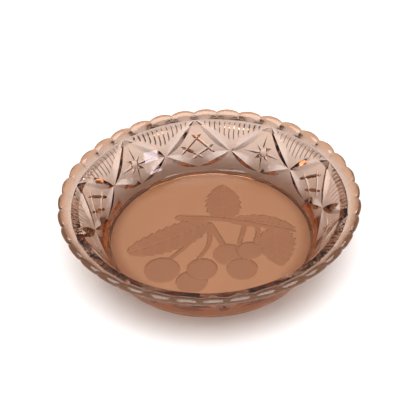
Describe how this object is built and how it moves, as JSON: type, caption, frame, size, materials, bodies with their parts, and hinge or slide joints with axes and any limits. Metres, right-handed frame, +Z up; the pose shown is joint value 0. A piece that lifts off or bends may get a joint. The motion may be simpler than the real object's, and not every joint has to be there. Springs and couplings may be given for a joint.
{
  "type": "pressed glass candy dish",
  "caption": "Shallow open candy dish of pressed pink glass with a scalloped rim, a cut diamond pattern outside and a frosted base with cherries sunk in",
  "frame": {"origin": "centre of the bounding box's bottom face, on the plane the foot stands on", "axes": "+Z up along the dish's own axis, +Y toward one of the cross-hatched diamonds, at the back, +X to the right"},
  "size_m": [0.1746, 0.1746, 0.0374],
  "materials": {
    "clear_glass": "fire-polished clear pink pressed glass",
    "frosted_glass": "clear pink glass, satin-frosted on its underside"
  },
  "bodies": {
    "root": {"bowl_wall": "clear_glass", "base_panel": "frosted_glass"}
  },
  "joints": []
}
